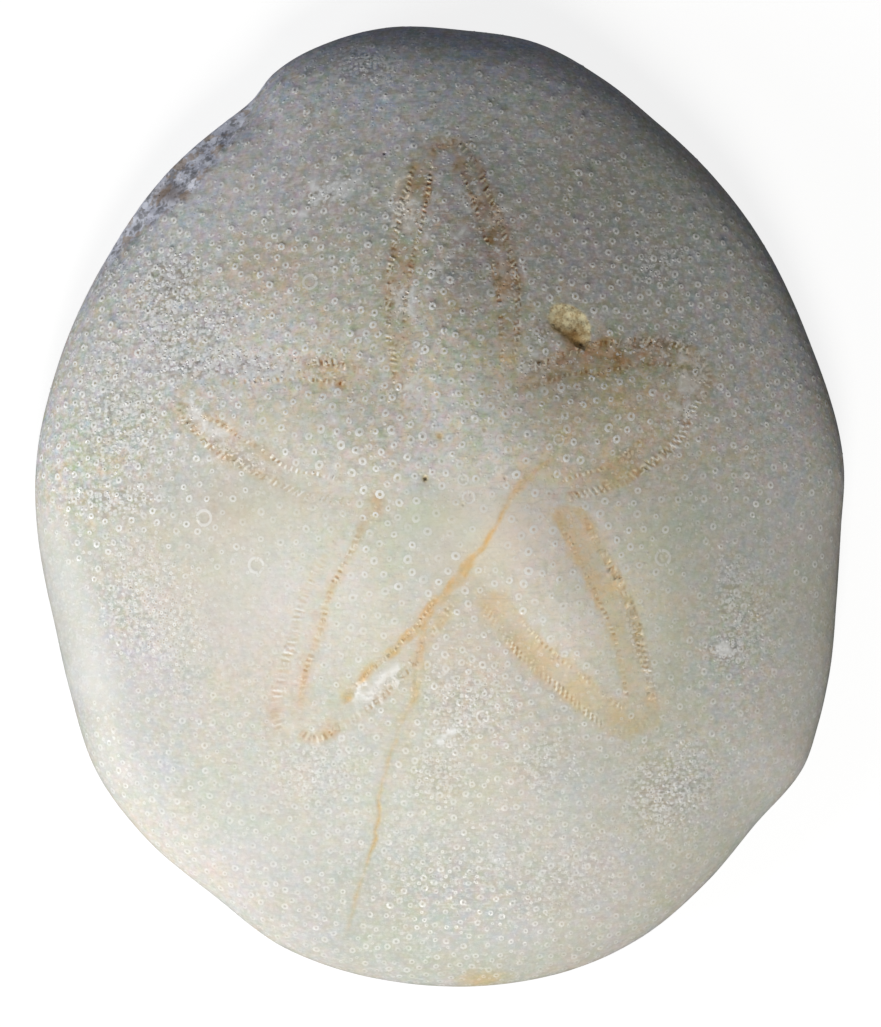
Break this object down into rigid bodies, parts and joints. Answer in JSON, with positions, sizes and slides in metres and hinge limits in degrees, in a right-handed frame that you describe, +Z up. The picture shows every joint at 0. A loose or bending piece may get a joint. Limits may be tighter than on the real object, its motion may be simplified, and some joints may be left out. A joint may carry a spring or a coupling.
{
  "type": "sand dollar",
  "caption": "Low-domed, rounded sand dollar with a five-petal pattern, a chipped rim and a flat oral side to rest on.",
  "frame": {"origin": "on the resting plane, under the middle of the outline", "axes": "+Z up through the domed side; +Y to the front, the way the unpaired petal points; +X to the right in plan"},
  "size_m": [0.0872, 0.1034, 0.022],
  "materials": {
    "test": "weathered, lightly polished cream calcite, greyer towards the rim, with ochre staining"
  },
  "bodies": {
    "root": {"test": "test"}
  },
  "joints": []
}
